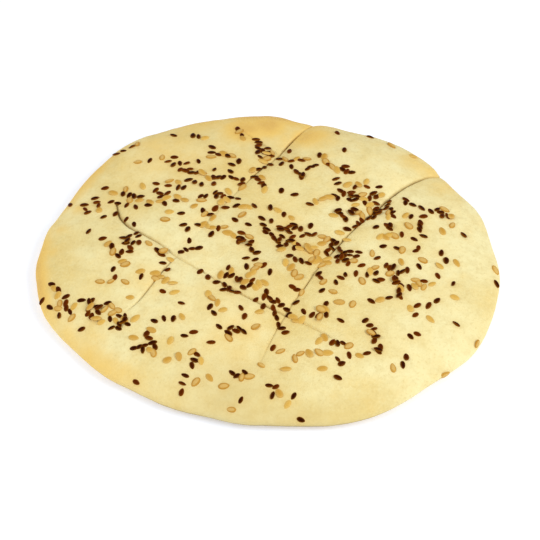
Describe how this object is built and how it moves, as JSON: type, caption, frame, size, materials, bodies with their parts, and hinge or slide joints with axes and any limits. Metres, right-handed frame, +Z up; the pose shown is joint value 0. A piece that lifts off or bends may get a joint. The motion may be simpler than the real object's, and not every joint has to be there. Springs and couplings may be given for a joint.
{
  "type": "flaxseed flatbread",
  "caption": "Low oval flatbread with a rounded rim, scored across its pale crust and strewn with brown and golden flax seeds.",
  "frame": {"origin": "middle of the flat underside, on the plane that the loaf rests on", "axes": "+X along the loaf's long way, +Y towards the rim that the two long scores run over, +Z up through the crust"},
  "size_m": [0.2578, 0.2308, 0.0243],
  "materials": {
    "crust": "matt, finely mottled, lightly browned at the rim",
    "brown_seed": "smooth and glossy",
    "golden_seed": "smooth and glossy"
  },
  "bodies": {
    "root": {"flatbread": "crust"}
  },
  "joints": []
}
